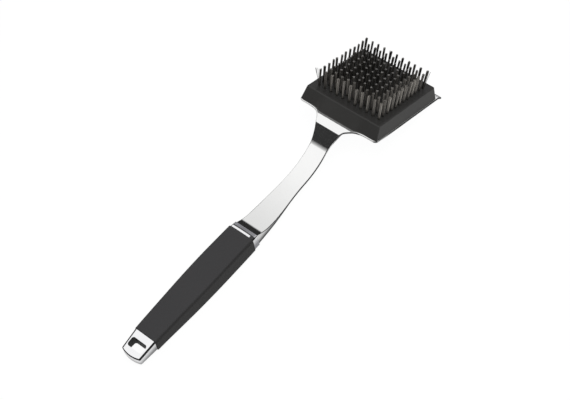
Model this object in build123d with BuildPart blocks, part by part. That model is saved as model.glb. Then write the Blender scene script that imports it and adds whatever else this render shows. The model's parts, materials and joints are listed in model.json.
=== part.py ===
from build123d import *
from math import atan, atan2, cos, radians, sin, tan
import os

# Grill cleaning brush, lying on its back with the bristles up.
# X runs along the brush towards the head, Y across it, Z up. Z = 0 is the surface it lies on,
# and X = 0, Y = 0 is the middle of its length and width. All sizes are millimetres.

# ---- whole brush ----
overall_length = 404.5
head_tilt = 18.0

# ---- steel neck and head plate ----
sheet_thickness = 1.6
plate_near_reach = 51.6
plate_far_reach = 51.0
plate_half_width = 48.5
plate_corner_radius = 5.0
lip_length = 5.9
lip_angle = 28.0
lip_bend_radius = 2.4
crest_reach = 64.2
crest_radius = 5.2
drop_angle = 38.5
dip_height = 16.0
dip_radius = 66.0
sag_height = 10.5
sag_setback = 26.4
sag_radius = 100.0
ramp_height = 12.45
ramp_setback = 10.5
ramp_radius = 30.0
ramp_share = 0.38
entry_height = 18.95
entry_insert = 2.5
root_half_width = 13.2
root_reach = 158.0
waist_half_width = 10.3
waist_start_reach = 108.0
waist_end_reach = 79.0
shoulder_reach = 66.0
shoulder_half_width = 14.7
flare_reach = 57.0
flare_half_width = 20.9
flare_end_half_width = 38.0
flange_root_clearance = 3.5
flange_length = 50.4
neck_edge_radius = 0.8

# ---- tang inside the handle ----
tang_length = 97.0
tang_half_width = 8.0
tang_height = 11.3
tang_bend_radius = 2.5
channel_insert = 0.8

# ---- moulded block ----
block_height = 14.0
block_top_width = 90.0
block_base_width = 95.0
block_near_base_reach = 50.1
block_corner_radius = 1.6
block_edge_radius = 1.2
tongue_depth = 3.2
tongue_half_width = 19.5
tongue_blend = 10.5

# ---- bristles ----
tuft_rows = 12
tufts_per_row = 11
tuft_pitch_x = 6.45
tuft_pitch_y = 7.4
bristle_length = 19.8
strand_width = 1.1
strand_spread = 1.0
strand_lean = 0.8
strand_root = 0.6
carrier_margin = 2.4
carrier_thickness = 2.4
anchor_width = 2.6
anchor_thickness = 0.5
anchor_depth = 2.2

# ---- head screws ----
head_screw_spacing = 64.0
head_screw_radius = 1.6
head_screw_head_radius = 3.0
head_screw_grip = 8.0

# ---- rubber grip: how far each station is from the tail, its width, underside and top ----
cap_length = 22.7
grip_length = 134.3
grip_tail_width = 27.2
grip_tail_underside = 1.4
grip_tail_top = 18.4
grip_waist_reach = 16.0
grip_waist_width = 28.0
grip_waist_underside = 1.2
grip_waist_top = 19.4
grip_palm_reach = 43.5
grip_palm_width = 29.6
grip_palm_underside = 0.3
grip_palm_top = 20.4
grip_swell_reach = 84.0
grip_swell_width = 31.2
grip_swell_underside = 0.1
grip_swell_top = 21.6
grip_shoulder_reach = 118.0
grip_shoulder_width = 30.8
grip_shoulder_underside = 0.1
grip_shoulder_top = 21.8
grip_front_width = 31.0
grip_front_underside = 0.8
grip_front_top = 21.3
grip_crown = 0.8
grip_corner_radius = 3.5
grip_wall = 2.6
grip_end_radius = 1.0

# ---- ferrule ----
ferrule_length = 6.9
ferrule_band = 2.2
ferrule_lip = 0.7
ferrule_width = 29.6
ferrule_underside = 1.2
ferrule_top = 20.4
ferrule_corner_radius = 3.4

# ---- handle core ----
part_clearance = 0.1
core_corner_radius = 2.0
core_nose = 2.0
core_stop = 0.6
core_pockets = 3
core_pocket_half_width = 6.5
core_pocket_depth = 3.0
core_pocket_rib = 2.4
core_boss_radius = 5.0
core_screw_radius = 1.6
core_screw_head_radius = 3.0
core_screw_head_height = 2.0
core_screw_seat = 5.6
core_screw_bite = 3.4
core_screw_setback = 25.0
core_screw_spacing = 58.0

# ---- end cap ----
cap_front_width = 24.8
cap_end_width = 22.6
cap_underside = 4.0
cap_front_top = 17.3
cap_tail_top = 13.1
cap_end_bulge = 2.2
cap_corner_radius = 1.6
cap_edge_radius = 1.4
cap_foot_radius = 0.8
hang_hole_length = 9.2
hang_hole_width = 17.9
hang_hole_radius = 2.4
hang_hole_setback = 6.8
tenon_length = 16.0
tenon_half_width = 7.0
tenon_height = 7.0
cap_pin_radius = 1.5
cap_pin_length = 18.0

# ---- places worked out from the sizes above ----
tilt_cos = cos(radians(head_tilt))
tilt_sin = sin(radians(head_tilt))
plate_top = -block_height
plate_underside = plate_top - sheet_thickness

# The scraper lip's tip, in the head's own axes. Its lower corner touches the floor, and its
# upper corner is the far end of the brush.
lip_tip_x = plate_far_reach + lip_length * cos(radians(lip_angle))
lip_tip_z = plate_top - lip_length * sin(radians(lip_angle))
lip_foot_x = lip_tip_x - sheet_thickness * sin(radians(lip_angle))
lip_foot_z = lip_tip_z - sheet_thickness * cos(radians(lip_angle))
head_z = lip_foot_x * tilt_sin - lip_foot_z * tilt_cos
head_x = overall_length / 2 - lip_tip_x * tilt_cos - lip_tip_z * tilt_sin

# The head plane is the top of the block, with its own X towards the lip and Z along the bristles.
head_plane = Plane(
    origin=(head_x, 0, head_z),
    x_dir=(tilt_cos, 0, -tilt_sin),
    z_dir=(tilt_sin, 0, tilt_cos),
)
head_axis = Axis(head_plane.origin, head_plane.z_dir)


def head_point(along, above):
    """The brush's X and Z of a point given in the head's own axes."""
    return (
        head_x + along * tilt_cos + above * tilt_sin,
        head_z - along * tilt_sin + above * tilt_cos,
    )


def head_reach(x, z):
    """How far along the head's own X axis a point of the brush lies."""
    return (x - head_x) * tilt_cos - (z - head_z) * tilt_sin


cap_end_x = -overall_length / 2
grip_tail_x = cap_end_x + cap_length
grip_front_x = grip_tail_x + grip_length
ferrule_front_x = grip_front_x + ferrule_length
ferrule_shoulder_x = grip_front_x + ferrule_band
core_front_x = grip_front_x + core_nose
entry_x = ferrule_front_x - entry_insert
channel_end_x = ferrule_front_x - channel_insert
joggle_x = entry_x - (entry_height - tang_height)
tang_end_x = ferrule_front_x - tang_length
ramp_x = ferrule_front_x + ramp_setback
sag_x = ferrule_front_x + sag_setback
crest = head_point(-crest_reach, plate_top)
dip_x = crest[0] - (crest[1] - dip_height) / tan(radians(drop_angle))
parting_z = tang_height - sheet_thickness

# ---- neck and head plate: one stamping, with a tang, turned-down edges and a bent scraper lip ----
neck_slope = (dip_height - sag_height) / (dip_x - sag_x)
entry_slope = (entry_height - ramp_height) / (entry_x - ramp_x)
channel_end = (channel_end_x, ramp_height + entry_slope * (channel_end_x - ramp_x))
channel_reach = head_reach(*channel_end)
flange_root = (channel_end_x, flange_root_clearance)
flange_end_x = channel_end_x + flange_length
flange_end = (flange_end_x, sag_height + neck_slope * (flange_end_x - sag_x))
neck_line = [(ramp_x, ramp_height), (sag_x, sag_height), (dip_x, dip_height), crest]

# The ramp's and the sag's bends share the run between them, so each is limited to its part of it.
sag_run = ((sag_x - ramp_x) ** 2 + (ramp_height - sag_height) ** 2) ** 0.5
sag_fall = atan2(ramp_height - sag_height, sag_x - ramp_x)
ramp_turn = atan2(entry_height - ramp_height, ramp_x - entry_x) - sag_fall
sag_turn = sag_fall + atan(neck_slope)
ramp_bend = min(ramp_radius, ramp_share * sag_run / tan(ramp_turn / 2))
sag_bend = min(sag_radius, (1 - ramp_share) * sag_run / tan(sag_turn / 2))
neck_radii = [ramp_bend, sag_bend, dip_radius, crest_radius]


def neck_edge(inset):
    """One long edge of the neck in plan, from the handle to the head plate's near edge."""
    Line((channel_reach, root_half_width - inset), (-root_reach, root_half_width - inset))
    Spline(
        (-root_reach, root_half_width - inset),
        (-waist_start_reach, waist_half_width - inset),
        tangents=[(1, 0), (1, 0)],
    )
    Line(
        (-waist_start_reach, waist_half_width - inset),
        (-waist_end_reach, waist_half_width - inset),
    )
    Spline(
        (-waist_end_reach, waist_half_width - inset),
        (-shoulder_reach, shoulder_half_width - inset),
        (-flare_reach, flare_half_width - inset),
        (-plate_near_reach, flare_end_half_width - inset),
        tangents=[(1, 0), (0, 1)],
    )


with BuildPart() as neck_flanges:
    with BuildSketch(Plane.XZ):
        with BuildLine():
            FilletPolyline(
                channel_end,
                (ramp_x, ramp_height),
                (sag_x, sag_height),
                flange_end,
                radius=[ramp_bend, sag_bend],
            )
            Polyline(
                flange_end,
                (flange_end_x, flange_end[1] - sheet_thickness),
                flange_root,
                channel_end,
            )
        make_face()
    extrude(amount=plate_half_width, both=True)
    with BuildSketch(head_plane):
        with BuildLine():
            neck_edge(0)
            neck_edge(sheet_thickness)
            for reach, half_width in (
                (-plate_near_reach, flare_end_half_width),
                (channel_reach, root_half_width),
            ):
                Line((reach, half_width), (reach, half_width - sheet_thickness))
        make_face()
        mirror(about=Plane.XZ)
    extrude(amount=overall_length, both=True, mode=Mode.INTERSECT)

with BuildPart() as neck_plate:
    with BuildSketch(Plane.XZ):
        with BuildLine():
            FilletPolyline(
                (tang_end_x, tang_height),
                (joggle_x, tang_height),
                (entry_x, entry_height),
                *neck_line,
                head_point(plate_far_reach, plate_top),
                head_point(lip_tip_x, lip_tip_z),
                radius=[tang_bend_radius, tang_bend_radius, *neck_radii, lip_bend_radius],
            )
            offset(amount=sheet_thickness, side=Side.RIGHT)
        make_face()
    extrude(amount=plate_half_width, both=True)
    with BuildSketch(head_plane):
        with BuildLine():
            neck_edge(0)
            Polyline(
                (-plate_near_reach, flare_end_half_width),
                (-plate_near_reach, plate_half_width),
                (lip_tip_x + lip_length, plate_half_width),
                (lip_tip_x + lip_length, 0),
                (-overall_length, 0),
                (-overall_length, tang_half_width),
                (channel_reach, tang_half_width),
                (channel_reach, root_half_width),
            )
        make_face()
        mirror(about=Plane.XZ)
        near_corners = vertices().filter_by(lambda v: abs(v.Y) > plate_half_width - 0.1)
        fillet(near_corners.group_by(Axis.X)[0], radius=plate_corner_radius)
    extrude(amount=overall_length, both=True, mode=Mode.INTERSECT)
    add(neck_flanges.part)
    neck_flats = faces().filter_by(GeomType.PLANE)
    neck_flats = neck_flats.filter_by(lambda face: sag_x < face.center().X < dip_x)
    neck_top = neck_flats.filter_by(lambda face: face.normal_at().Z > 0).sort_by(Axis.Z)[-1]
    long_edges = neck_top.edges().filter_by(lambda edge: abs(edge.center().Y) > tang_half_width)
    fillet(long_edges, radius=neck_edge_radius)
    with Locations(head_plane.offset(plate_underside)):
        with GridLocations(head_screw_spacing, head_screw_spacing, 2, 2):
            with Locations(Rotation(180, 0, 0)):
                CounterSinkHole(
                    head_screw_radius + part_clearance,
                    head_screw_head_radius + part_clearance,
                    depth=2 * sheet_thickness,
                    counter_sink_angle=90,
                )
    with Locations((ferrule_front_x - core_screw_setback - core_screw_spacing / 2, 0, tang_height)):
        with GridLocations(core_screw_spacing, 1, 2, 1):
            Hole(core_screw_radius + part_clearance, depth=2 * sheet_thickness)

neck_plate.part.label = "neck_plate"

# ---- moulded block that holds the bristles, drafted on all sides, with a tongue over the neck's root ----
def block_outline(half_width, near_reach, tongue):
    """The block's plan: a square with a soft tongue on the side towards the handle."""
    foot = tongue_half_width + tongue_blend
    with BuildSketch() as outline:
        with BuildLine():
            Spline(
                (-near_reach, -foot),
                (-near_reach - tongue, -tongue_half_width),
                tangents=[(0, 1), (0, 1)],
            )
            Line((-near_reach - tongue, -tongue_half_width), (-near_reach - tongue, tongue_half_width))
            Spline(
                (-near_reach - tongue, tongue_half_width),
                (-near_reach, foot),
                tangents=[(0, 1), (0, 1)],
            )
            Polyline(
                (-near_reach, foot),
                (-near_reach, half_width),
                (half_width, half_width),
                (half_width, -half_width),
                (-near_reach, -half_width),
                (-near_reach, -foot),
            )
        make_face()
        corners = outline.vertices().filter_by(lambda vertex: abs(vertex.Y) > foot + tongue_blend)
        fillet(corners, radius=block_corner_radius)
    return outline.sketch


tuft_field = GridLocations(tuft_pitch_x, tuft_pitch_y, tuft_rows, tufts_per_row)
carrier_length = (tuft_rows - 1) * tuft_pitch_x + 2 * carrier_margin
carrier_width = (tufts_per_row - 1) * tuft_pitch_y + 2 * carrier_margin

with BuildPart() as brush_block:
    with BuildSketch(head_plane.offset(plate_top)):
        add(block_outline(block_base_width / 2, block_near_base_reach, tongue_depth))
    with BuildSketch(head_plane):
        add(block_outline(block_top_width / 2, block_top_width / 2, 0))
    loft(ruled=True)
    fillet(faces().sort_by(head_axis)[-1].edges(), radius=block_edge_radius)
    with BuildSketch(head_plane):
        Rectangle(carrier_length, carrier_width)
    extrude(amount=-carrier_thickness, mode=Mode.SUBTRACT)
    with BuildSketch(head_plane.offset(-carrier_thickness)):
        with tuft_field:
            Rectangle(anchor_thickness, anchor_width)
    extrude(amount=-anchor_depth, mode=Mode.SUBTRACT)
    with Locations(head_plane.offset(plate_top)):
        with GridLocations(head_screw_spacing, head_screw_spacing, 2, 2):
            with Locations(Rotation(180, 0, 0)):
                Hole(head_screw_radius + part_clearance, depth=head_screw_grip)

brush_block.part.label = "brush_block"


# ---- bristles: tufts of wire strands, standing in a slice of the block's face ----
strand_slant = strand_lean / bristle_length
strand_height = bristle_length + strand_root
strand_groups = []
for direction in (90, 210, 330):
    lean_x = cos(radians(direction))
    lean_y = sin(radians(direction))
    with BuildSketch(head_plane.offset(-strand_root)) as strand_feet:
        with tuft_field:
            with Locations((strand_spread * lean_x, strand_spread * lean_y)):
                Rectangle(strand_width, strand_width, rotation=direction)
    slant = head_plane.x_dir * lean_x + head_plane.y_dir * lean_y
    strand_groups.append(
        extrude(
            strand_feet.sketch,
            amount=strand_height * (1 + strand_slant**2) ** 0.5,
            dir=head_plane.z_dir + slant * strand_slant,
            mode=Mode.PRIVATE,
        )
    )

with BuildPart() as bristles:
    with BuildSketch(head_plane.offset(-carrier_thickness)):
        Rectangle(carrier_length, carrier_width)
    extrude(amount=carrier_thickness)
    add([strand for group in strand_groups for strand in group.solids()])

bristles.part.label = "bristles"

# ---- anchors: flat wires driven into the block under each tuft ----
with BuildPart() as tuft_anchors:
    with BuildSketch(head_plane.offset(-carrier_thickness)):
        with tuft_field:
            Rectangle(anchor_thickness, anchor_width)
    extrude(amount=-anchor_depth)

tuft_anchors.part.label = "tuft_anchors"

# ---- four countersunk screws that hold the block on the head plate ----
head_screw_cone = head_screw_head_radius - head_screw_radius
with BuildPart() as head_screw:
    with BuildSketch(Plane.XZ):
        with BuildLine():
            Polyline(
                (0, plate_underside),
                (head_screw_head_radius, plate_underside),
                (head_screw_radius, plate_underside + head_screw_cone),
                (head_screw_radius, plate_top + head_screw_grip - 2 * head_screw_radius),
                (0, plate_top + head_screw_grip - head_screw_radius),
                close=True,
            )
        make_face()
    revolve(axis=Axis.Z)

with BuildPart() as head_screws:
    with Locations(head_plane):
        with GridLocations(head_screw_spacing, head_screw_spacing, 2, 2):
            add(head_screw.part)

head_screws.part.label = "head_screws"


# ---- handle sections: crowned above and below, with rounded corners ----
def handle_section(x, width, underside, top, corner_radius):
    """A closed outline across the handle at one place along it."""
    side = width / 2
    with BuildSketch(Plane.YZ.offset(x)) as section:
        with BuildLine():
            ThreePointArc((-side, top - grip_crown), (0, top), (side, top - grip_crown))
            Line((side, top - grip_crown), (side, underside + grip_crown))
            ThreePointArc((side, underside + grip_crown), (0, underside), (-side, underside + grip_crown))
            Line((-side, underside + grip_crown), (-side, top - grip_crown))
        make_face()
        fillet(section.vertices(), radius=corner_radius)
    return section.sketch


grip_stations = [
    (0, grip_tail_width, grip_tail_underside, grip_tail_top),
    (grip_waist_reach, grip_waist_width, grip_waist_underside, grip_waist_top),
    (grip_palm_reach, grip_palm_width, grip_palm_underside, grip_palm_top),
    (grip_swell_reach, grip_swell_width, grip_swell_underside, grip_swell_top),
    (grip_shoulder_reach, grip_shoulder_width, grip_shoulder_underside, grip_shoulder_top),
    (grip_length, grip_front_width, grip_front_underside, grip_front_top),
]


def grip_sections(inset, corner_radius):
    """The grip's outlines from tail to front, all drawn in by one distance."""
    return [
        handle_section(
            grip_tail_x + reach,
            width - 2 * inset,
            underside + inset,
            top - inset,
            corner_radius,
        )
        for reach, width, underside, top in grip_stations
    ]


def core_section(x, inset):
    """The core's outline at the grip's front, drawn in by one distance, at another place."""
    return handle_section(
        x,
        grip_front_width - 2 * inset,
        grip_front_underside + inset,
        grip_front_top - inset,
        core_corner_radius,
    )


# ---- soft grip: a rubber sleeve moulded over the core ----
with BuildPart() as grip_sleeve:
    loft(grip_sections(0, grip_corner_radius))
    fillet(edges().group_by(Axis.X)[0] + edges().group_by(Axis.X)[-1], radius=grip_end_radius)
    loft(grip_sections(grip_wall, core_corner_radius), mode=Mode.SUBTRACT)

grip_sleeve.part.label = "grip_sleeve"

# ---- handle core: two moulded halves that clamp the tang and the cap's tenon ----
core_inset = grip_wall + part_clearance
core_screw_x = ferrule_front_x - core_screw_setback - core_screw_spacing / 2
tenon_middle_z = (grip_tail_underside + grip_tail_top) / 2
tenon_end_x = grip_tail_x + tenon_length
cap_pin_x = grip_tail_x + tenon_length / 2

with BuildPart() as core_body:
    loft(grip_sections(core_inset, core_corner_radius))
    extrude(core_section(grip_front_x, core_inset), amount=core_nose, dir=(1, 0, 0))
    with BuildSketch(Plane.XZ):
        with BuildLine():
            FilletPolyline(
                (tang_end_x - part_clearance, tang_height + part_clearance),
                (joggle_x - part_clearance, tang_height + part_clearance),
                (entry_x - part_clearance, entry_height + part_clearance),
                radius=tang_bend_radius,
            )
            Polyline(
                (entry_x - part_clearance, entry_height + part_clearance),
                (entry_x - part_clearance, parting_z),
                (tang_end_x - part_clearance, parting_z),
                (tang_end_x - part_clearance, tang_height + part_clearance),
            )
        make_face()
    extrude(amount=tang_half_width + part_clearance, both=True, mode=Mode.SUBTRACT)
    with BuildSketch(Plane.YZ.offset(grip_tail_x)):
        with Locations((0, tenon_middle_z)):
            Rectangle(2 * (tenon_half_width + part_clearance), tenon_height + 2 * part_clearance)
    extrude(amount=tenon_length + part_clearance, mode=Mode.SUBTRACT)
    with BuildSketch(Plane.XZ):
        with Locations((cap_pin_x, tenon_middle_z)):
            Circle(cap_pin_radius + part_clearance)
    extrude(amount=cap_pin_length / 2 + part_clearance, both=True, mode=Mode.SUBTRACT)
    with Locations((core_screw_x, 0, core_screw_seat)):
        with GridLocations(core_screw_spacing, 1, 2, 1):
            Cylinder(
                core_screw_head_radius + part_clearance,
                core_screw_seat,
                align=(Align.CENTER, Align.CENTER, Align.MAX),
                mode=Mode.SUBTRACT,
            )
            Cylinder(
                core_screw_radius + part_clearance,
                tang_height + core_screw_bite + part_clearance - core_screw_seat,
                align=(Align.CENTER, Align.CENTER, Align.MIN),
                mode=Mode.SUBTRACT,
            )

with BuildPart() as core_upper:
    add(core_body.part)
    split(bisect_by=Plane.XY.offset(parting_z), keep=Keep.TOP)

core_upper.part.label = "core_upper"

pocket_field_length = core_screw_spacing - 2 * core_boss_radius
pocket_pitch = pocket_field_length / core_pockets
with BuildPart() as core_lower:
    add(core_body.part)
    split(bisect_by=Plane.XY.offset(parting_z), keep=Keep.BOTTOM)
    with BuildSketch(Plane.XY.offset(parting_z)):
        with Locations((core_screw_x, 0)):
            with GridLocations(pocket_pitch, 1, core_pockets, 1):
                Rectangle(pocket_pitch - core_pocket_rib, 2 * core_pocket_half_width)
    extrude(amount=-core_pocket_depth, mode=Mode.SUBTRACT)

core_lower.part.label = "core_lower"

# ---- two screws that pull the core's halves together through the tang ----
with BuildPart() as core_screws:
    with Locations((core_screw_x, 0, core_screw_seat)):
        with GridLocations(core_screw_spacing, 1, 2, 1):
            Cylinder(
                core_screw_head_radius,
                core_screw_head_height,
                align=(Align.CENTER, Align.CENTER, Align.MAX),
            )
            Cylinder(
                core_screw_radius,
                tang_height + core_screw_bite - core_screw_seat,
                align=(Align.CENTER, Align.CENTER, Align.MIN),
            )

core_screws.part.label = "core_screws"

# ---- ferrule: a moulded collar that slopes from the grip down to the neck ----
mouth_clearance = 2 * part_clearance


def mouth_section(x, margin):
    """The neck's channel at one place inside the ferrule, drawn out by a margin."""
    side = root_half_width + margin
    foot = flange_root_clearance - margin
    top = ramp_height + entry_slope * (x - ramp_x) + margin
    top_radius = neck_edge_radius + margin
    with BuildSketch(Plane.YZ.offset(x)) as section:
        with BuildLine():
            FilletPolyline(
                (-side, top),
                (side, top),
                (side, foot),
                (-side, foot),
                radius=[top_radius, top_radius, margin, margin],
                close=True,
            )
        make_face()
    return section.sketch


def ferrule_section(x):
    """The ferrule's band across the handle."""
    return handle_section(x, ferrule_width, ferrule_underside, ferrule_top, ferrule_corner_radius)


with BuildPart() as ferrule:
    loft([ferrule_section(grip_front_x), ferrule_section(ferrule_shoulder_x)], ruled=True)
    loft(
        [
            ferrule_section(ferrule_shoulder_x),
            mouth_section(ferrule_front_x, ferrule_lip + mouth_clearance),
        ],
        ruled=True,
    )
    extrude(
        core_section(grip_front_x, core_inset - part_clearance),
        amount=core_nose + part_clearance,
        dir=(1, 0, 0),
        mode=Mode.SUBTRACT,
    )
    loft(
        [
            core_section(core_front_x + part_clearance, core_inset + core_stop),
            mouth_section(entry_x, mouth_clearance),
        ],
        ruled=True,
        mode=Mode.SUBTRACT,
    )
    loft(
        [
            mouth_section(entry_x, mouth_clearance),
            mouth_section(ferrule_front_x, mouth_clearance),
        ],
        ruled=True,
        mode=Mode.SUBTRACT,
    )

ferrule.part.label = "ferrule"

# ---- end cap: a solid moulded wedge with a slot to hang it by, and a tenon into the core ----
cap_corner_x = cap_end_x + cap_end_bulge
with BuildPart() as end_cap:
    with BuildSketch(Plane.XZ):
        with BuildLine():
            Polyline(
                (grip_tail_x, cap_underside),
                (grip_tail_x, cap_front_top),
                (cap_end_x, cap_tail_top),
                (cap_end_x, cap_underside),
                close=True,
            )
        make_face()
    extrude(amount=cap_front_width / 2, both=True)
    with BuildSketch(Plane.XY) as cap_plan:
        with BuildLine():
            Polyline(
                (cap_corner_x, cap_end_width / 2),
                (grip_tail_x, cap_front_width / 2),
                (grip_tail_x, -cap_front_width / 2),
                (cap_corner_x, -cap_end_width / 2),
            )
            ThreePointArc(
                (cap_corner_x, -cap_end_width / 2),
                (cap_end_x, 0),
                (cap_corner_x, cap_end_width / 2),
            )
        make_face()
        fillet(cap_plan.vertices().group_by(Axis.X)[0], radius=cap_corner_radius)
    extrude(amount=cap_front_top, mode=Mode.INTERSECT)
    cap_rim = edges().filter_by(lambda edge: edge.center().X < grip_tail_x - part_clearance)
    cap_top_rim = cap_rim.filter_by(lambda edge: edge.center().Z > cap_tail_top - part_clearance)
    fillet(cap_top_rim, radius=cap_edge_radius)
    cap_foot_rim = edges().group_by(Axis.Z)[0]
    cap_foot_rim = cap_foot_rim.filter_by(lambda edge: edge.center().X < grip_tail_x - part_clearance)
    fillet(cap_foot_rim, radius=cap_foot_radius)
    with BuildSketch(Plane.XY):
        with Locations((cap_end_x + hang_hole_setback + hang_hole_length / 2, 0)):
            RectangleRounded(hang_hole_length, hang_hole_width, hang_hole_radius)
    extrude(amount=cap_front_top, mode=Mode.SUBTRACT)
    with BuildSketch(Plane.YZ.offset(grip_tail_x)):
        with Locations((0, tenon_middle_z)):
            Rectangle(2 * tenon_half_width, tenon_height)
    extrude(amount=tenon_length)
    with BuildSketch(Plane.XZ):
        with Locations((cap_pin_x, tenon_middle_z)):
            Circle(cap_pin_radius + part_clearance)
    extrude(amount=tenon_half_width, both=True, mode=Mode.SUBTRACT)

end_cap.part.label = "end_cap"

# ---- cross pin that locks the cap's tenon in the core ----
with BuildPart() as cap_pin:
    with BuildSketch(Plane.XZ):
        with Locations((cap_pin_x, tenon_middle_z)):
            Circle(cap_pin_radius)
    extrude(amount=cap_pin_length / 2, both=True)

cap_pin.part.label = "cap_pin"

# ---- one STEP file for each piece ----
os.makedirs("parts", exist_ok=True)
export_step(neck_plate.part, "parts/neck_plate.step")
export_step(brush_block.part, "parts/brush_block.step")
export_step(bristles.part, "parts/bristles.step")
export_step(tuft_anchors.part, "parts/tuft_anchors.step")
export_step(head_screws.part, "parts/head_screws.step")
export_step(ferrule.part, "parts/ferrule.step")
export_step(core_upper.part, "parts/core_upper.step")
export_step(core_lower.part, "parts/core_lower.step")
export_step(core_screws.part, "parts/core_screws.step")
export_step(grip_sleeve.part, "parts/grip_sleeve.step")
export_step(end_cap.part, "parts/end_cap.step")
export_step(cap_pin.part, "parts/cap_pin.step")
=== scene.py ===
import bpy
import bmesh
import json
import math
import random
from mathutils import Matrix, Vector


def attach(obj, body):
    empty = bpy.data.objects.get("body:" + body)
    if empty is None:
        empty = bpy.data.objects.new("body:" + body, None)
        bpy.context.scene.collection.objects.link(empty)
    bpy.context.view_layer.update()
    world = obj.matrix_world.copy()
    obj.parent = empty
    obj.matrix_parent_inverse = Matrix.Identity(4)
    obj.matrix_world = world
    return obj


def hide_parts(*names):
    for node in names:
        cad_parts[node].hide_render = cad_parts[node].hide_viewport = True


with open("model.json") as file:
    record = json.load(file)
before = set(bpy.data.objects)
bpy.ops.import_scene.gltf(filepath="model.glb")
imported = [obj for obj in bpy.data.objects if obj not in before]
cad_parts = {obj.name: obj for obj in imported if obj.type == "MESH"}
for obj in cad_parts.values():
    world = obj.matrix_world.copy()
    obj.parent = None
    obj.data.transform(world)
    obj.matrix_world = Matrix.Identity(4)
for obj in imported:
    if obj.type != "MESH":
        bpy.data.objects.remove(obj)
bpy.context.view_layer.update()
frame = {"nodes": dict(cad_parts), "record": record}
nodes = frame["nodes"]

# ---- Neck and head plate ----
# One stamping of 1.6 mm stainless sheet, polished to a soft mirror over its rolling lines. The handle clamps
# its tang, its edges turn down near the handle, and its far edge is bent into a scraper lip. The plate is a
# little hollow by the crest. Its sheared edges are dull and dark, and painted shade darkens the turned-down
# sides low down and the tip of the lip. The steel is painted darker towards the handle, as painted shade, and
# the edge bends carry a painted dark reflection on the near side only.
sheet_thickness = 0.0016
block_height = 0.014
plate_back = next(mount for mount in frame["record"]["mounts"] if mount["name"] == "plate_back")
head_up = -Vector(plate_back["axis"])
head_along = Vector((0, 1, 0)).cross(head_up)
head_origin = Vector(plate_back["pos_m"]) + head_up * (block_height + sheet_thickness)
head_place = Matrix((head_along, (0, 1, 0), head_up)).transposed().to_4x4()
head_place.translation = head_origin

# Where a name ends in _step, a mask is 0 at the first number and 1 at the second.
head_start = 0.095
flange_foot_rise = 0.149
flange_foot_height = 0.0096
flange_foot_soft = 0.005
flange_foot_step = (1.7, 0.0)
upright_face_step = (0.75, 0.5)
sideways_face_step = (0.5, 0.75)
shaded_lip_tip_step = (0.1982, 0.2004)
hollow_at_block_step = (-0.0556, -0.0564)
hollow_at_crest_step = (-0.0624, -0.0614)
hollow_tilt = 0.24
edge_bend_starts_step = (0.1, 0.3)
edge_bend_ends_step = (0.97, 0.85)
far_bend_fades_step = (-0.01, 0.03)
towards_head_step = (-0.04, 0.06)
shaded_handle_end_steel = ((0.72, 0.72, 0.715), (0.8, 0.8, 0.795))
head_end_steel = ((0.92, 0.92, 0.915), (0.98, 0.98, 0.975))
painted_bend_reflection_steel = (0.14, 0.14, 0.14)
sheared_and_shaded_steel = (0.035, 0.035, 0.035)
polish_roughness = (0.04, 0.09)
sheared_roughness = 0.3
steel_lines = 1400.0
steel_line_stretch = 0.02
steel_line_depth = 0.0000015
line_flattening = 0.2
smudge_scale = 28.0
smudge_detail = 3.0
line_detail = 2.0


def feed(tree, socket, value):
    """Link another socket into an input, or set a plain value on it."""
    if isinstance(value, bpy.types.NodeSocket):
        tree.links.new(value, socket)
    else:
        socket.default_value = value


def set_inputs(tree, node, **values):
    """Feed a node's inputs by name."""
    for label, value in values.items():
        feed(tree, node.inputs[label.replace("_", " ")], value)


def add_node(tree, kind, **values):
    """Add a shader node and feed its inputs by name."""
    node = tree.nodes.new("ShaderNode" + kind)
    set_inputs(tree, node, **values)
    return node


def operate(tree, kind, operation, values):
    """Add a Math or Vector Math node and feed its inputs in order."""
    node = add_node(tree, kind)
    node.operation = operation
    for socket, value in zip(node.inputs, values):
        feed(tree, socket, value)
    return node.outputs


def number(tree, operation, *values):
    """The result of a Math node."""
    return operate(tree, "Math", operation, values)["Value"]


def vector(tree, operation, *values):
    """The vector that a Vector Math node gives."""
    return operate(tree, "VectorMath", operation, values)["Vector"]


def along(tree, place, direction):
    """How far a vector reaches along a direction."""
    return operate(tree, "VectorMath", "DOT_PRODUCT", (place, direction))["Value"]


def where_all(tree, mask, *others):
    """A mask that holds where all the given masks hold."""
    for other in others:
        mask = number(tree, "MULTIPLY", mask, other)
    return mask


def soft_step(tree, value, start, end):
    """A mask that goes softly from 0, with a value at the start, to 1, with it at the end."""
    falling = start > end
    node = add_node(
        tree, "MapRange", Value=value, From_Min=min(start, end), From_Max=max(start, end),
        To_Min=float(falling), To_Max=float(not falling),
    )
    node.interpolation_type = "SMOOTHSTEP"
    return node.outputs["Result"]


def between(tree, mask, low, high):
    """A number between two others, along a mask."""
    return number(tree, "ADD", number(tree, "MULTIPLY", mask, high - low), low)


def mixed(tree, mask, first, second):
    """A colour between two others, along a mask. Each is a socket or a plain colour."""
    mix = add_node(tree, "Mix")
    mix.data_type = "RGBA"
    feed(tree, mix.inputs[0], mask)
    for socket, colour in ((mix.inputs[6], first), (mix.inputs[7], second)):
        feed(tree, socket, colour if isinstance(colour, bpy.types.NodeSocket) else (*colour, 1))
    return mix.outputs[2]


def place_on(tree):
    """The place of a point in the brush's own frame, in metres."""
    return add_node(tree, "TexCoord").outputs["Object"]


def axes(tree, value):
    """The X, Y and Z of a vector."""
    return add_node(tree, "SeparateXYZ", Vector=value).outputs


def facing(tree):
    """The direction that a face points in."""
    return add_node(tree, "NewGeometry").outputs["True Normal"]


def noise(tree, place, scale, detail):
    """Soft noise in space, from 0 to 1."""
    return add_node(tree, "TexNoise", Vector=place, Scale=scale, Detail=detail).outputs["Fac"]


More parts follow.
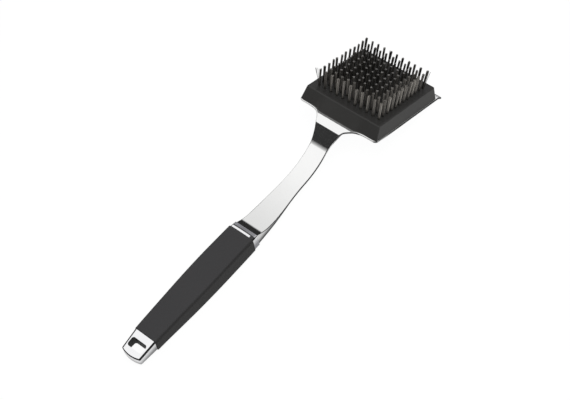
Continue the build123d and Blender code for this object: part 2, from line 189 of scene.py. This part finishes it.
def shader_group(name, inputs, outputs):
    """An empty shader node group with its inputs' default values and its outputs' names."""
    group = bpy.data.node_groups.new(name, "ShaderNodeTree")
    for label, value in inputs.items():
        socket = group.interface.new_socket(label, in_out="INPUT", socket_type="NodeSocketFloat")
        socket.default_value = value
    for label in outputs:
        group.interface.new_socket(label, in_out="OUTPUT", socket_type="NodeSocketFloat")
    return group, group.nodes.new("NodeGroupInput").outputs, group.nodes.new("NodeGroupOutput")


def place_group(tree, group, **values):
    """Put a node group in a material with this material's own values."""
    node = tree.nodes.new("ShaderNodeGroup")
    node.node_tree = group
    set_inputs(tree, node, **values)
    return node.outputs


def finish_material(name, **values):
    """A new material, with what is the same all over set on the shader itself."""
    material = bpy.data.materials.new(name)
    material.use_nodes = True
    tree = material.node_tree
    shader = tree.nodes["Principled BSDF"]
    set_inputs(tree, shader, **values)
    return material, tree, shader


rolled_lines, given, made = shader_group(
    "rolled_lines", {"Lines": steel_lines, "Stretch": steel_line_stretch}, ("Line", "Smudge")
)
place = place_on(rolled_lines)
stretch = add_node(rolled_lines, "CombineXYZ", X=given["Stretch"], Y=1.0, Z=line_flattening)
stretched = vector(rolled_lines, "MULTIPLY", place, stretch.outputs["Vector"])
set_inputs(
    rolled_lines, made,
    Line=noise(rolled_lines, stretched, given["Lines"], line_detail),
    Smudge=noise(rolled_lines, place, smudge_scale, smudge_detail),
)

sheared_and_shaded_edge, given, made = shader_group(
    "sheared_and_shaded_edge",
    {"Foot Rise": flange_foot_rise, "Foot Height": flange_foot_height, "Soft": flange_foot_soft},
    ("Edge",),
)
face = facing(sheared_and_shaded_edge)
place = axes(sheared_and_shaded_edge, place_on(sheared_and_shaded_edge))
upright = number(sheared_and_shaded_edge, "ABSOLUTE", along(sheared_and_shaded_edge, face, head_up))
upright = soft_step(sheared_and_shaded_edge, upright, *upright_face_step)
in_head = number(sheared_and_shaded_edge, "GREATER_THAN", place["X"], head_start)
sideways = number(sheared_and_shaded_edge, "ABSOLUTE", axes(sheared_and_shaded_edge, face)["Y"])
sideways = soft_step(sheared_and_shaded_edge, sideways, *sideways_face_step)
cut_face = number(sheared_and_shaded_edge, "MAXIMUM", where_all(sheared_and_shaded_edge, upright, in_head), sideways)
foot = number(sheared_and_shaded_edge, "MULTIPLY", place["X"], given["Foot Rise"])
foot = number(sheared_and_shaded_edge, "ADD", foot, given["Foot Height"])
above_foot = number(sheared_and_shaded_edge, "SUBTRACT", place["Z"], foot)
above_foot = number(sheared_and_shaded_edge, "DIVIDE", above_foot, given["Soft"])
# Painted shade: the turned-down sides go dark below a line that rises towards the head, as do the cut edges.
dark_cut_and_shaded_edge = where_all(sheared_and_shaded_edge, cut_face, soft_step(sheared_and_shaded_edge, above_foot, *flange_foot_step))
# Painted shade: the tip of the lip is dark.
shaded_lip_tip = soft_step(sheared_and_shaded_edge, place["X"], *shaded_lip_tip_step)
set_inputs(sheared_and_shaded_edge, made, Edge=number(sheared_and_shaded_edge, "MAXIMUM", dark_cut_and_shaded_edge, shaded_lip_tip))

steel, tree, shader = finish_material("polished_steel", Metallic=1.0)
lines = place_group(tree, rolled_lines, Lines=steel_lines, Stretch=steel_line_stretch)
edge = place_group(
    tree, sheared_and_shaded_edge, Foot_Rise=flange_foot_rise, Foot_Height=flange_foot_height, Soft=flange_foot_soft
)
place = place_on(tree)
reach = axes(tree, place)["X"]
side = axes(tree, facing(tree))["Y"]
turned = number(tree, "ABSOLUTE", side)
far_side = number(tree, "GREATER_THAN", side, 0)
far_side = where_all(tree, far_side, soft_step(tree, reach, *far_bend_fades_step))
# Painted reflection: the edge bends are dark on the near side only.
painted_bend_reflection = where_all(
    tree,
    soft_step(tree, turned, *edge_bend_starts_step),
    soft_step(tree, turned, *edge_bend_ends_step),
    number(tree, "SUBTRACT", 1, far_side),
)
# Painted shade: the steel is darker towards the handle than on the head.
handle_end = mixed(tree, lines["Smudge"], *shaded_handle_end_steel)
head_end = mixed(tree, lines["Smudge"], *head_end_steel)
bright = mixed(tree, soft_step(tree, reach, *towards_head_step), handle_end, head_end)
bright = mixed(tree, painted_bend_reflection, bright, painted_bend_reflection_steel)
polish = between(tree, lines["Smudge"], *polish_roughness)
worn = number(tree, "MULTIPLY", edge["Edge"], sheared_roughness)
from_block = number(tree, "SUBTRACT", along(tree, place, head_along), head_origin.dot(head_along))
hollow = where_all(
    tree,
    soft_step(tree, from_block, *hollow_at_block_step),
    soft_step(tree, from_block, *hollow_at_crest_step),
)
tilt = vector(tree, "MULTIPLY", hollow, head_along * -hollow_tilt)
tilted = vector(tree, "ADD", add_node(tree, "NewGeometry").outputs["Normal"], tilt)
rolled = add_node(
    tree, "Bump", Height=lines["Line"], Distance=steel_line_depth, Normal=vector(tree, "NORMALIZE", tilted)
)
set_inputs(
    tree, shader,
    Base_Color=mixed(tree, edge["Edge"], bright, sheared_and_shaded_steel),
    Roughness=number(tree, "ADD", polish, worn),
    Normal=rolled.outputs["Normal"],
)
nodes["neck_plate"].data.materials[0] = steel

# ---- Block ----
# Injection-moulded black plastic with drafted sides and a soft tongue over the neck's root. It has the fine
# grain of a spark-eroded mould, and is held on the plate by four screws from behind. Its top is painted
# darker than its sides, as painted shade.
block_sides_plastic = ((0.027, 0.0265, 0.0255), (0.038, 0.037, 0.0355))
block_top_shaded_plastic = ((0.02, 0.0196, 0.019), (0.028, 0.0273, 0.0264))
block_top_shade_step = (0.8, 0.95)
block_roughness = (0.3, 0.42)
block_gloss = 0.3
block_grain = 1600.0
grain_depth = 0.00002
cloud_scale = 22.0
grain_detail = 3.0


def bumped(tree, height, depth):
    """The normal of a surface that a mask raises."""
    return add_node(tree, "Bump", Height=height, Distance=depth).outputs["Normal"]


moulded_grain, given, made = shader_group("moulded_grain", {"Grain": block_grain}, ("Grain", "Cloud"))
place = place_on(moulded_grain)
set_inputs(
    moulded_grain, made,
    Grain=noise(moulded_grain, place, given["Grain"], grain_detail),
    Cloud=noise(moulded_grain, place, cloud_scale, grain_detail),
)

block_plastic, tree, shader = finish_material("black_block_plastic", Specular_IOR_Level=block_gloss)
grain = place_group(tree, moulded_grain, Grain=block_grain)
# Painted shade: faces that look up are darker.
painted_top_mask = soft_step(tree, along(tree, facing(tree), head_up), *block_top_shade_step)
block_sides = mixed(tree, grain["Cloud"], *block_sides_plastic)
shaded_block_top = mixed(tree, grain["Cloud"], *block_top_shaded_plastic)
set_inputs(
    tree, shader,
    Base_Color=mixed(tree, painted_top_mask, block_sides, shaded_block_top),
    Roughness=between(tree, grain["Cloud"], *block_roughness),
    Normal=bumped(tree, grain["Grain"], grain_depth),
)
nodes["brush_block"].data.materials[0] = block_plastic

# ---- Tuft anchors ----
# Flat strips of plated steel wire. Each is driven across the fold of a tuft and down into the block, where it
# holds the tuft by the grip of the plastic round it.
anchor_steel = ((0.42, 0.42, 0.41), (0.58, 0.58, 0.57))
anchor_roughness = 0.35
anchor_lines = 2600.0
anchor_line_stretch = 0.1

anchor_wire, tree, shader = finish_material("plated_anchor_wire", Roughness=anchor_roughness, Metallic=1.0)
lines = place_group(tree, rolled_lines, Lines=anchor_lines, Stretch=anchor_line_stretch)
set_inputs(tree, shader, Base_Color=mixed(tree, lines["Line"], *anchor_steel))
nodes["tuft_anchors"].data.materials[0] = anchor_wire

# ---- Bristle field ----
# The face of the block is drilled with 12 rows of 11 holes, and a bundle of hard-drawn steel wires stands in
# each. The wires splay a little towards their cut ends, which are painted bright as a painted highlight, and
# here and there one stands away from its tuft. The outer rows on two sides are worn and splay wider, and are
# painted paler as painted light. The wires are painted dark towards their roots, as painted shade.
tuft_rows = 12
tufts_per_row = 11
tuft_pitch_x = 0.00645
tuft_pitch_y = 0.0074
bed_margin = 0.0024
bed_thickness = 0.0024
hole_sides = 12
hole_radius = 0.0013
hole_flare = 0.0001
hole_mouth_share = 1 + 2 * hole_flare / hole_radius
hole_depth = 0.0015
wire_sides = 5
wire_bends = 2
wire_radius = 0.00021
wires_per_tuft = 24
tuft_root_radius = 0.0009
bristle_length = 0.0197
tuft_length_spread = 0.0004
wire_length_spread = 0.00026
splay = 1.2
splay_spread = (0.92, 1.08)
field_splay_x = 0.042
field_splay_y = 0.02
field_lean = 0.0011
lean_spread = 0.00032
tip_spread = 0.00009
bow_spread = 0.00006
worn_and_lit_rows = 2.2
wear_and_light_fade_over = 2
worn_splay = 0.3
worn_root = 0.08
worn_tip = 0.02
stray_share = 0.002
stray_reach = 0.0016
corner_strays = 3
corner_stray = Vector((-0.0008, 0.0032, 0))
corner_stray_spacing = Vector((-0.0006, 0.0011, 0))
wire_tone = 0.06
lit_outer_tone = 0.56
tuft_tone_spread = 0.12
wire_tone_spread = 0.14
lit_outer_tone_spread = 0.16
drawn_steel = ((0.045, 0.042, 0.038), (0.5, 0.47, 0.43))
cut_end_highlight_steel = ((0.28, 0.27, 0.26), (0.85, 0.84, 0.82))
root_shade_steel = (0.06, 0.056, 0.051)
root_shade_step = (0.3, 0.04)
cut_end_highlight_step = (0.985, 0.998)
wire_roughness = 0.36
wire_metal = 0.6
wire_smooth_angle = math.radians(80)
wire_scatter_seed = 7

tuft_places = [
    ((row - (tuft_rows - 1) / 2) * tuft_pitch_x, (column - (tufts_per_row - 1) / 2) * tuft_pitch_y)
    for row in range(tuft_rows)
    for column in range(tufts_per_row)
]


def start_mesh(add, scale=(1, 1, 1), **settings):
    """Add a primitive with nothing else selected, and fix its place and scale in its mesh."""
    bpy.ops.object.select_all(action="DESELECT")
    add(**settings)
    bpy.context.object.scale = scale
    bpy.ops.object.transform_apply(location=True, rotation=True, scale=True)
    return bpy.context.object


def apply_modifier(piece, kind, **settings):
    """Give a piece one modifier and apply it at once."""
    bpy.context.view_layer.objects.active = piece
    modifier = piece.modifiers.new(kind.lower(), kind)
    for name, value in settings.items():
        setattr(modifier, name, value)
    bpy.ops.object.modifier_apply(modifier=modifier.name)


def cut_rings(piece, heights):
    """Cut a mesh across at some heights, so that it can be shaped there."""
    bpy.context.view_layer.objects.active = piece
    bpy.ops.object.mode_set(mode="EDIT")
    for height in heights:
        bpy.ops.mesh.select_all(action="SELECT")
        bpy.ops.mesh.bisect(plane_co=(0, 0, height), plane_no=(0, 0, 1))
    bpy.ops.object.mode_set(mode="OBJECT")


def widen(piece, from_height, to_height, share):
    """Scale a mesh across its own axis, between two heights."""
    bpy.context.view_layer.objects.active = piece
    bpy.ops.object.mode_set(mode="EDIT")
    bpy.ops.mesh.select_mode(type="VERT")
    bpy.ops.mesh.select_all(action="DESELECT")
    bpy.ops.object.mode_set(mode="OBJECT")
    for vertex in piece.data.vertices:
        vertex.select = from_height < vertex.co.z < to_height
    bpy.ops.object.mode_set(mode="EDIT")
    bpy.ops.transform.resize(value=(share, share, 1), center_override=(0, 0, 0))
    bpy.ops.object.mode_set(mode="OBJECT")


def repeat_mesh(mesh, places):
    """Put a copy of a mesh at each place, in the mesh itself."""
    copies = bmesh.new()
    for place in places:
        copy = mesh.copy()
        copy.transform(place)
        copies.from_mesh(copy)
        bpy.data.meshes.remove(copy)
    copies.to_mesh(mesh)
    copies.free()


def settle(piece, name, material):
    """Put a finished mesh in its place on the tilted head, name it and let it ride."""
    piece.name = name
    piece.data.name = name
    piece.data.transform(head_place @ piece.matrix_world)
    piece.matrix_world = Matrix.Identity(4)
    piece.data.materials.clear()
    piece.data.materials.append(material)
    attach(piece, "root")


drill = start_mesh(
    bpy.ops.mesh.primitive_cylinder_add, vertices=hole_sides, radius=hole_radius,
    depth=hole_depth + hole_flare, location=(0, 0, (hole_flare - hole_depth) / 2),
)
widen(drill, 0, 2 * hole_flare, hole_mouth_share)
repeat_mesh(drill.data, [Matrix.Translation((x, y, 0)) for x, y in tuft_places])

bed_length = (tuft_rows - 1) * tuft_pitch_x + 2 * bed_margin
bed_width = (tufts_per_row - 1) * tuft_pitch_y + 2 * bed_margin
bed = start_mesh(
    bpy.ops.mesh.primitive_cube_add, scale=(bed_length, bed_width, bed_thickness), size=1,
    location=(0, 0, -bed_thickness / 2),
)
apply_modifier(bed, "BOOLEAN", operation="DIFFERENCE", object=drill, solver="EXACT")
bpy.data.objects.remove(drill)
settle(bed, "drilled_bed", block_plastic)
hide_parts("bristles")

wire = start_mesh(
    bpy.ops.mesh.primitive_cylinder_add, vertices=wire_sides, radius=wire_radius, depth=1,
    location=(0, 0, 0.5),
)
cut_rings(wire, [bend / (wire_bends + 1) for bend in range(1, wire_bends + 1)])

golden_turn = math.pi * (3 - math.sqrt(5))
wire_places = []
for step in range(wires_per_tuft):
    from_middle = tuft_root_radius * math.sqrt((step + 0.5) / wires_per_tuft)
    turn = step * golden_turn
    wire_places.append(Vector((from_middle * math.cos(turn), from_middle * math.sin(turn), 0)))

chance = random.Random(wire_scatter_seed)
field = bmesh.new()
tone_layer = field.verts.layers.float.new("tone")
rise_layer = field.verts.layers.float.new("rise")
for tuft_x, tuft_y in tuft_places:
    lean = Vector((
        chance.gauss(field_lean + field_splay_x * tuft_x, lean_spread),
        chance.gauss(field_splay_y * tuft_y, lean_spread),
        0,
    ))
    yaw = Matrix.Rotation(chance.uniform(0, math.tau), 3, "Z")
    tuft_tone = chance.uniform(-tuft_tone_spread, tuft_tone_spread)
    row = round(tuft_x / tuft_pitch_x + (tuft_rows - 1) / 2)
    column = round(tuft_y / tuft_pitch_y + (tufts_per_row - 1) / 2)
    wear_and_light = max(
        (1 - row / worn_and_lit_rows) * min(1, (tufts_per_row - 1 - column) / wear_and_light_fade_over),
        (1 - column / worn_and_lit_rows) * min(1, (tuft_rows - 1 - row) / wear_and_light_fade_over),
        0,
    )
    tuft_length = bristle_length - abs(chance.gauss(0, tuft_length_spread))
    tuft_splay = splay * chance.uniform(*splay_spread) + worn_splay * wear_and_light
    at_corner = row == 0 and column == tufts_per_row - 1
    for step, wire_place in enumerate(wire_places):
        root = yaw @ wire_place * (1 + worn_root * wear_and_light)
        stray = root.normalized() * stray_reach if chance.random() < stray_share else Vector()
        if at_corner and step < corner_strays:
            stray = corner_stray + corner_stray_spacing * step
        reach = Vector((chance.gauss(0, tip_spread), chance.gauss(0, tip_spread), 0))
        tip = root * tuft_splay + lean + reach + stray
        bow = Vector((chance.gauss(0, bow_spread), chance.gauss(0, bow_spread), 0))
        length = tuft_length - abs(chance.gauss(0, wire_length_spread))
        # Painted light: the outer rows on two sides are paler.
        tone = wire_tone + lit_outer_tone * wear_and_light + tuft_tone
        tone += chance.gauss(0, wire_tone_spread + lit_outer_tone_spread * wear_and_light)
        start = len(field.verts)
        field.from_mesh(wire.data)
        field.verts.ensure_lookup_table()
        for vertex in field.verts[start:]:
            share = vertex.co.z
            middle = root.lerp(tip, share) + bow * math.sin(math.pi * share)
            vertex[tone_layer] = min(1, max(0, tone))
            vertex[rise_layer] = share * (1 - worn_tip * wear_and_light)
            vertex.co.x += tuft_x + middle.x
            vertex.co.y += tuft_y + middle.y
            vertex.co.z = share * (length + hole_depth) - hole_depth
field.to_mesh(wire.data)
field.free()

bristle_wire, tree, shader = finish_material(
    "drawn_bristle_wire", Roughness=wire_roughness, Metallic=wire_metal
)
tone_node = add_node(tree, "Attribute")
tone_node.attribute_name = "tone"
tone = tone_node.outputs["Fac"]
rise_node = add_node(tree, "Attribute")
rise_node.attribute_name = "rise"
rise = rise_node.outputs["Fac"]
wire_length = mixed(tree, tone, *drawn_steel)
# Painted shade: the wires darken towards their roots.
wire_length = mixed(tree, soft_step(tree, rise, *root_shade_step), wire_length, root_shade_steel)
# Painted highlight: the cut ends of the wires are bright.
cut_end_highlight = mixed(tree, tone, *cut_end_highlight_steel)
wire_colour = mixed(tree, soft_step(tree, rise, *cut_end_highlight_step), wire_length, cut_end_highlight)
set_inputs(tree, shader, Base_Color=wire_colour)
settle(wire, "bristle_tufts", bristle_wire)
bpy.ops.object.select_all(action="DESELECT")
wire.select_set(True)
bpy.context.view_layer.objects.active = wire
bpy.ops.object.shade_smooth_by_angle(angle=wire_smooth_angle)
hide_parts("bristles")

# ---- Head screws ----
# Four countersunk screws of plated steel with a cross recess. They are driven through the back of the plate
# into the block, and their heads lie flush with it.
screw_sides = 40
screw_head_radius = 0.003
screw_shank_radius = 0.0016
screw_length = 0.0096
screw_point_share = 0.35
screw_spacing = 0.064
screw_turn_per_metre = 1.0
recess_width = 0.00085
recess_reach = 0.0034
recess_depth = 0.0013
recess_round_share = 0.08
round_segments = 2
screw_edge_round = 0.00008
screw_edge_angle = math.radians(40)
screw_plating = ((0.45, 0.45, 0.46), (0.68, 0.68, 0.69))
screw_roughness = 0.3
screw_lines = 3000.0
screw_line_stretch = 0.6

screw = start_mesh(
    bpy.ops.mesh.primitive_cylinder_add, vertices=screw_sides, radius=screw_shank_radius,
    depth=screw_length, location=(0, 0, screw_length / 2),
)
head_height = screw_head_radius - screw_shank_radius
cut_rings(screw, (head_height, screw_length - screw_shank_radius))
widen(screw, -head_height, head_height / 2, screw_head_radius / screw_shank_radius)
widen(screw, screw_length - screw_shank_radius / 2, 2 * screw_length, screw_point_share)
for turn in (0, 90):
    blade = start_mesh(bpy.ops.mesh.primitive_cube_add, size=1)
    blade.rotation_euler.z = math.radians(turn)
    blade.scale = (recess_reach, recess_width, 2 * recess_depth)
    apply_modifier(blade, "BEVEL", width=recess_round_share, segments=round_segments)
    apply_modifier(screw, "BOOLEAN", operation="DIFFERENCE", object=blade, solver="EXACT")
    bpy.data.objects.remove(blade)
apply_modifier(
    screw, "BEVEL", width=screw_edge_round, segments=round_segments, limit_method="ANGLE",
    angle_limit=screw_edge_angle,
)
plate_back_depth = -block_height - sheet_thickness
screw_places = [
    Matrix.Translation((x, y, plate_back_depth)) @ Matrix.Rotation(screw_turn_per_metre * (x + y), 4, "Z")
    for x in (-screw_spacing / 2, screw_spacing / 2)
    for y in (-screw_spacing / 2, screw_spacing / 2)
]
repeat_mesh(screw.data, screw_places)
screw_steel, tree, shader = finish_material("plated_screw_steel", Roughness=screw_roughness, Metallic=1.0)
lines = place_group(tree, rolled_lines, Lines=screw_lines, Stretch=screw_line_stretch)
set_inputs(tree, shader, Base_Color=mixed(tree, lines["Line"], *screw_plating))
settle(screw, "cross_recess_screws", screw_steel)
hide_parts("head_screws")

# ---- Core screws and cap pin ----
# Two screws that pull the halves of the handle's core together through the tang, and the plain pin that locks
# the end cap's tenon. They are of the same plated steel as the head's screws, and the grip covers them.
nodes["core_screws"].data.materials[0] = screw_steel
nodes["cap_pin"].data.materials[0] = screw_steel

# ---- Handle core ----
# Two halves moulded in hard dark plastic, which clamp the tang and the cap's tenon. The grip is moulded over
# them, so they don't show.
core_shades = ((0.09, 0.09, 0.09), (0.12, 0.12, 0.12))
core_roughness = 0.5
core_grain = 900.0

core_plastic, tree, shader = finish_material("core_plastic", Roughness=core_roughness)
grain = place_group(tree, moulded_grain, Grain=core_grain)
set_inputs(
    tree, shader,
    Base_Color=mixed(tree, grain["Cloud"], *core_shades),
    Normal=bumped(tree, grain["Grain"], grain_depth),
)
nodes["core_upper"].data.materials[0] = core_plastic
nodes["core_lower"].data.materials[0] = core_plastic

# ---- Grip ----
# Soft black rubber, moulded over the core with the matte skin of a blasted mould. The flat top is painted a
# little paler and cooler than the sides, as painted light.
grip_side_shaded_rubber = ((0.024, 0.0235, 0.0235), (0.03, 0.0295, 0.0295))
grip_top_lit_rubber = ((0.034, 0.0335, 0.0348), (0.042, 0.0412, 0.0428))
grip_top_light_step = (0.6, 0.95)
grip_roughness = (0.5, 0.62)
grip_gloss = 0.2
grip_grain = 2200.0

grip_rubber, tree, shader = finish_material("soft_grip_rubber", Specular_IOR_Level=grip_gloss)
grain = place_group(tree, moulded_grain, Grain=grip_grain)
# Painted light: faces that look up are paler than the sides.
painted_top_mask = soft_step(tree, axes(tree, facing(tree))["Z"], *grip_top_light_step)
shaded_grip_side = mixed(tree, grain["Cloud"], *grip_side_shaded_rubber)
lit_grip_top = mixed(tree, grain["Cloud"], *grip_top_lit_rubber)
set_inputs(
    tree, shader,
    Base_Color=mixed(tree, painted_top_mask, shaded_grip_side, lit_grip_top),
    Roughness=between(tree, grain["Cloud"], *grip_roughness),
    Normal=bumped(tree, grain["Grain"], grain_depth),
)
nodes["grip_sleeve"].data.materials[0] = grip_rubber

# ---- Ferrule ----
# A moulded collar with a silver coat, which slopes from the grip down to the neck. Its flat band is polished
# and the slope is a darker satin. The sides are painted darker low down, as painted shade, and the seam
# between band and slope and the open corner on one side are painted dark, as painted reflections.
seam_step = (-0.0416, -0.0419)
band_corner_step = (-0.0094, -0.01)
band_corner_turn_step = (0.98, 0.8)
slope_step = (0.12, 0.25)
low_side_shade_step = (0.0195, 0.0075)
side_turn_step = (0.5, 0.9)
polished_silver = ((0.88, 0.88, 0.89), (0.94, 0.94, 0.95))
satin_and_shaded_silver = ((0.26, 0.26, 0.28), (0.33, 0.33, 0.35))
painted_dark_seam = (0.06, 0.06, 0.062)
silver_roughness = (0.08, 0.3)
silver_grain = 1200.0

silver_coat, tree, shader = finish_material("satin_silver_coat", Metallic=1.0)
grain = place_group(tree, moulded_grain, Grain=silver_grain)
face = axes(tree, facing(tree))
place = axes(tree, place_on(tree))
turned = number(tree, "ABSOLUTE", face["Y"])
slope = soft_step(tree, face["X"], *slope_step)
# Painted reflection: the band's corner is dark on one side only, and the seam below is dark too.
corner = where_all(
    tree,
    soft_step(tree, place["Y"], *band_corner_step),
    soft_step(tree, turned, *band_corner_turn_step),
    number(tree, "LESS_THAN", place["X"], seam_step[1]),
)
seam_reflection = where_all(tree, slope, soft_step(tree, place["X"], *seam_step))
dark_reflection = number(tree, "MAXIMUM", corner, seam_reflection)
# Painted shade: the sides darken towards the bottom.
low_side_shade = where_all(
    tree, soft_step(tree, place["Z"], *low_side_shade_step), soft_step(tree, turned, *side_turn_step)
)
satin_and_shade = number(tree, "MAXIMUM", slope, low_side_shade)
polished_coat = mixed(tree, grain["Cloud"], *polished_silver)
satin_and_shaded_coat = mixed(tree, grain["Cloud"], *satin_and_shaded_silver)
coat = mixed(tree, satin_and_shade, polished_coat, satin_and_shaded_coat)
set_inputs(
    tree, shader,
    Base_Color=mixed(tree, dark_reflection, coat, painted_dark_seam),
    Roughness=between(tree, satin_and_shade, *silver_roughness),
)
nodes["ferrule"].data.materials[0] = silver_coat

# ---- End cap ----
# A solid moulded wedge with the same coat, but brighter and smoother. A painted dark reflection runs round
# the rim of its top, and the coat is painted darker lower down, as painted shade. Its tenon is pinned in the
# core.
# A slot with walls of bare black plastic goes right through it, to hang the brush by.
hang_slot = frame["record"]["physics"]["openings"][0]["box_m"]
slot_middle = (Vector(hang_slot[0]) + Vector(hang_slot[1])) / 2
slot_half = (Vector(hang_slot[1]) - Vector(hang_slot[0])) / 2
slot_margin = 0.0012
slot_wall_turn = 0.5
cap_top_front = Vector((-0.17955, 0, 0.0173))
cap_top_slope = 0.1852
cap_top_half_width = 0.01101
cap_taper = 0.0535
rim_step = (0.00001, 0.00006)
rim_width = (0.0012, 0.0024)
far_rim_width = 0.0004
low_on_cap_step = (0.002, 0.011)
bright_silver = ((0.9, 0.9, 0.91), (0.95, 0.95, 0.96))
shaded_silver = (0.24, 0.24, 0.245)
rim_reflection_dark = (0.035, 0.035, 0.036)
slot_wall_plastic = (0.014, 0.014, 0.014)
cap_roughness = (0.07, 0.6)

bright_coat, tree, shader = finish_material("bright_silver_coat")
grain = place_group(tree, moulded_grain, Grain=silver_grain)
place = place_on(tree)
face = axes(tree, facing(tree))
from_slot = axes(tree, vector(tree, "ABSOLUTE", vector(tree, "SUBTRACT", place, slot_middle)))
bare = where_all(
    tree,
    number(tree, "LESS_THAN", from_slot["X"], slot_half.x + slot_margin),
    number(tree, "LESS_THAN", from_slot["Y"], slot_half.y + slot_margin),
    number(tree, "LESS_THAN", number(tree, "ABSOLUTE", face["Z"]), slot_wall_turn),
)
from_front = vector(tree, "SUBTRACT", place, cap_top_front)
below_top = along(tree, from_front, (cap_top_slope, 0, -1))
rim_end = between(tree, number(tree, "ABSOLUTE", face["Y"]), *rim_width)
near_top = number(tree, "LESS_THAN", below_top, rim_end)
past_far_edge = number(tree, "SUBTRACT", along(tree, from_front, (-cap_taper, 1, 0)), cap_top_half_width)
past_far_edge = number(tree, "GREATER_THAN", past_far_edge, -far_rim_width)
# Painted reflection: a dark line round the rim of the top.
painted_rim_reflection = where_all(tree, number(tree, "MAXIMUM", soft_step(tree, below_top, *rim_step), past_far_edge), near_top)
coat = mixed(tree, grain["Cloud"], *bright_silver)
# Painted shade: the coat darkens lower on the cap.
coat = mixed(tree, soft_step(tree, below_top, *low_on_cap_step), coat, shaded_silver)
coat = mixed(tree, painted_rim_reflection, coat, rim_reflection_dark)
set_inputs(
    tree, shader,
    Base_Color=mixed(tree, bare, coat, slot_wall_plastic),
    Metallic=number(tree, "SUBTRACT", 1, bare),
    Roughness=between(tree, bare, *cap_roughness),
)
nodes["end_cap"].data.materials[0] = bright_coat

# ---- Floor ----
# A sheet of pale studio paper that the brush lies on. It is white to the camera and in reflections, and still
# shows the brush's soft shadow.
floor_size = 6
floor_colour = (0.6, 0.6, 0.6, 1)
floor_glow = 1.07
floor_glow_share = 0.88
floor_in_reflections = 0.5

floor = start_mesh(bpy.ops.mesh.primitive_plane_add, size=floor_size)
floor.name = "floor"
floor_white = bpy.data.materials.new("floor_white")
floor_white.use_nodes = True
tree = floor_white.node_tree
tree.nodes.clear()
path = add_node(tree, "LightPath").outputs
seen = number(tree, "MULTIPLY", path["Is Glossy Ray"], floor_in_reflections)
seen = number(tree, "MAXIMUM", path["Is Camera Ray"], seen)
seen = number(tree, "MAXIMUM", seen, path["Is Transmission Ray"])
floor_mix = add_node(tree, "MixShader", Fac=number(tree, "MULTIPLY", seen, floor_glow_share))
tree.links.new(add_node(tree, "BsdfDiffuse", Color=floor_colour).outputs[0], floor_mix.inputs[1])
tree.links.new(add_node(tree, "Emission", Strength=floor_glow).outputs[0], floor_mix.inputs[2])
add_node(tree, "OutputMaterial", Surface=floor_mix.outputs[0])
floor.data.materials.append(floor_white)

# ---- Studio ----
# An even white room for the light, with a large soft lamp above. Polished pieces see a bright ceiling that
# reaches lower on the head's side, above dark walls.
room_white = (1, 1, 1, 1)
room_light = 0.6
wall_and_ceiling_light = (0.03, 0.97)
ceiling_towards = (0.2024, 0.2, 1.0)
ceiling_step = (0.561, 0.616)
lamp_size = 1.0
lamp_power = 9
lamp_place = Vector((-0.1, -0.4, 1.3))

world = bpy.data.worlds.new("studio")
bpy.context.scene.world = world
world.use_nodes = True
tree = world.node_tree
tree.nodes.clear()
even = add_node(tree, "Background", Color=room_white, Strength=room_light)
backdrop = add_node(tree, "Background", Color=room_white)
ceiling = along(tree, add_node(tree, "TexCoord").outputs["Generated"], ceiling_towards)
ceiling = between(tree, soft_step(tree, ceiling, *ceiling_step), *wall_and_ceiling_light)
reflected_room = add_node(tree, "Background", Color=room_white, Strength=ceiling)
path = add_node(tree, "LightPath").outputs
room = add_node(tree, "MixShader", Fac=path["Is Glossy Ray"])
tree.links.new(even.outputs[0], room.inputs[1])
tree.links.new(reflected_room.outputs[0], room.inputs[2])
straight = number(tree, "MAXIMUM", path["Is Camera Ray"], path["Is Transmission Ray"])
shown = add_node(tree, "MixShader", Fac=straight)
tree.links.new(room.outputs[0], shown.inputs[1])
tree.links.new(backdrop.outputs[0], shown.inputs[2])
add_node(tree, "OutputWorld", Surface=shown.outputs[0])

lamp_data = bpy.data.lights.new("lamp", "AREA")
lamp_data.shape = "DISK"
lamp_data.size = lamp_size
lamp_data.energy = lamp_power
lamp = bpy.data.objects.new("lamp", lamp_data)
bpy.context.scene.collection.objects.link(lamp)
lamp.location = lamp_place
lamp.rotation_euler = (-lamp_place).to_track_quat("-Z", "Y").to_euler()
lamp.visible_glossy = False

# ---- Camera ----
# It looks down on the brush from beside the end cap, as the photograph does, through a long lens from about
# 1.35 m away.
camera_sensor = 36
camera_lens = 88.553
camera_reach = 20
camera_place = (-0.48085, -0.60330, 1.10945)
camera_turn = (34.54075, 7.18389, -49.73365)

camera_data = bpy.data.cameras.new("photo_camera")
camera_data.sensor_width = camera_sensor
camera_data.lens = camera_lens
camera_data.clip_end = camera_reach
camera = bpy.data.objects.new("photo_camera", camera_data)
bpy.context.scene.collection.objects.link(camera)
camera.location = camera_place
camera.rotation_euler = [math.radians(angle) for angle in camera_turn]
bpy.context.scene.camera = camera
bpy.context.scene.view_settings.view_transform = "Standard"
